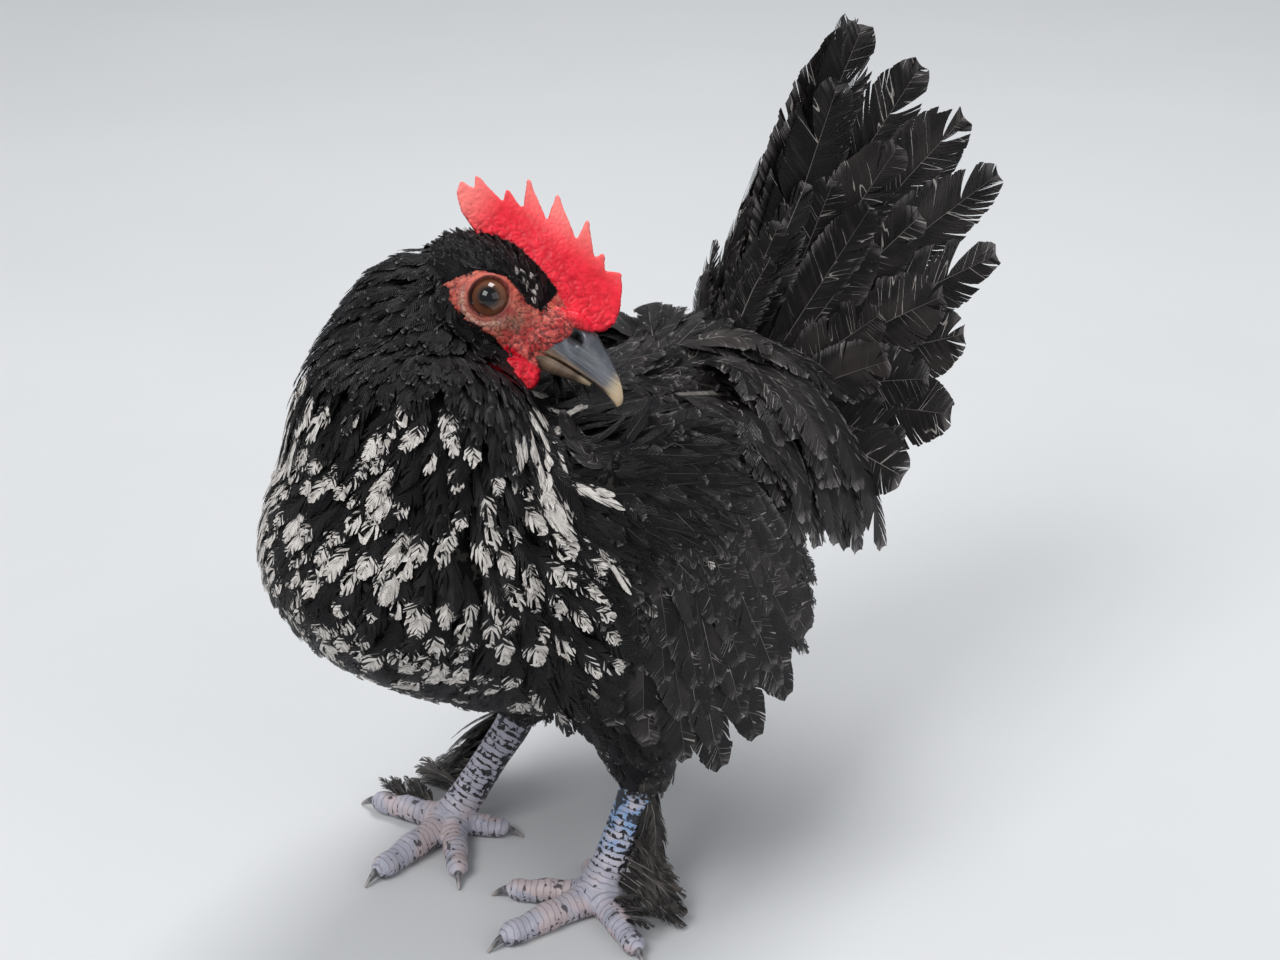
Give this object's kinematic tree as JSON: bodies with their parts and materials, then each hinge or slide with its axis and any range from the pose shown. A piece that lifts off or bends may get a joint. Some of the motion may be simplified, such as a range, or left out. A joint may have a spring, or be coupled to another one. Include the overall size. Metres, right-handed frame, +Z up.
{
  "type": "bantam rooster",
  "caption": "Life-size standing bantam rooster with a single comb, mottled breast, raised black tail and feathered shanks, head turned to its left.",
  "frame": {"origin": "on the floor, under the middle of the whole bird's box", "axes": "+Z up, -Y the way the breast faces, +X the bird's left side"},
  "size_m": [0.1056, 0.2244, 0.2029],
  "materials": {
    "black_plumage": "satin",
    "mottled_plumage": "satin",
    "red_skin": "satin",
    "beak_horn": "semi-gloss",
    "eye": "wet gloss",
    "leg_scale": "satin",
    "claw_horn": "semi-gloss"
  },
  "bodies": {
    "root": {"beak_lower": "beak_horn", "beak_upper": "beak_horn", "claw_left_1": "claw_horn", "claw_left_2": "claw_horn", "claw_left_3": "claw_horn", "claw_left_4": "claw_horn", "claw_right_1": "claw_horn", "claw_right_2": "claw_horn", "claw_right_3": "claw_horn", "claw_right_4": "claw_horn", "comb": "red_skin", "eye_left": "eye", "eye_right": "eye", "foot_left": "leg_scale", "foot_right": "leg_scale", "head": "black_plumage", "neck": "black_plumage", "shank_left": "leg_scale", "shank_right": "leg_scale", "tail": "black_plumage", "thigh_left": "black_plumage", "thigh_right": "black_plumage", "toe_left_1": "leg_scale", "toe_left_2": "leg_scale", "toe_left_3": "leg_scale", "toe_left_4": "leg_scale", "toe_right_1": "leg_scale", "toe_right_2": "leg_scale", "toe_right_3": "leg_scale", "toe_right_4": "leg_scale", "torso": "mottled_plumage", "wattle_left": "red_skin", "wattle_right": "red_skin", "wing_left": "black_plumage", "wing_right": "black_plumage"}
  },
  "joints": []
}
